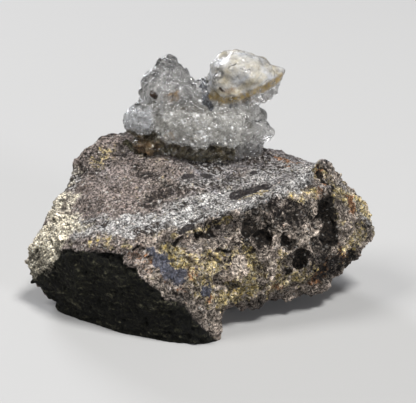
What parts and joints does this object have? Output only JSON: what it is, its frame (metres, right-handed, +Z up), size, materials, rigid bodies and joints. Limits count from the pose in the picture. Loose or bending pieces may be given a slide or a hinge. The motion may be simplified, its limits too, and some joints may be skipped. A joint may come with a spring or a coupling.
{
  "type": "hyalite opal on matrix",
  "caption": "Natural mineral specimen: a clear to milky, knobbly growth of hyalite opal on a rough block of volcanic tuff that rests on a flat fracture.",
  "frame": {"origin": "middle of the specimen's box in plan, on the flat fracture that the rock rests on", "axes": "+X to the specimen's right, towards the end below the white knob; +Y to the back; +Z up"},
  "size_m": [0.0636, 0.0404, 0.0434],
  "materials": {
    "matrix_rock": "dull, gritty volcanic tuff: grey and mauve dust, yellow and rusty stains, dark pits",
    "hyalite_opal": "glassy, botryoidal, colourless to milky white with amber patches, refractive index about 1.45"
  },
  "bodies": {
    "root": {"matrix_rock": "matrix_rock", "hyalite_opal": "hyalite_opal"}
  },
  "joints": []
}
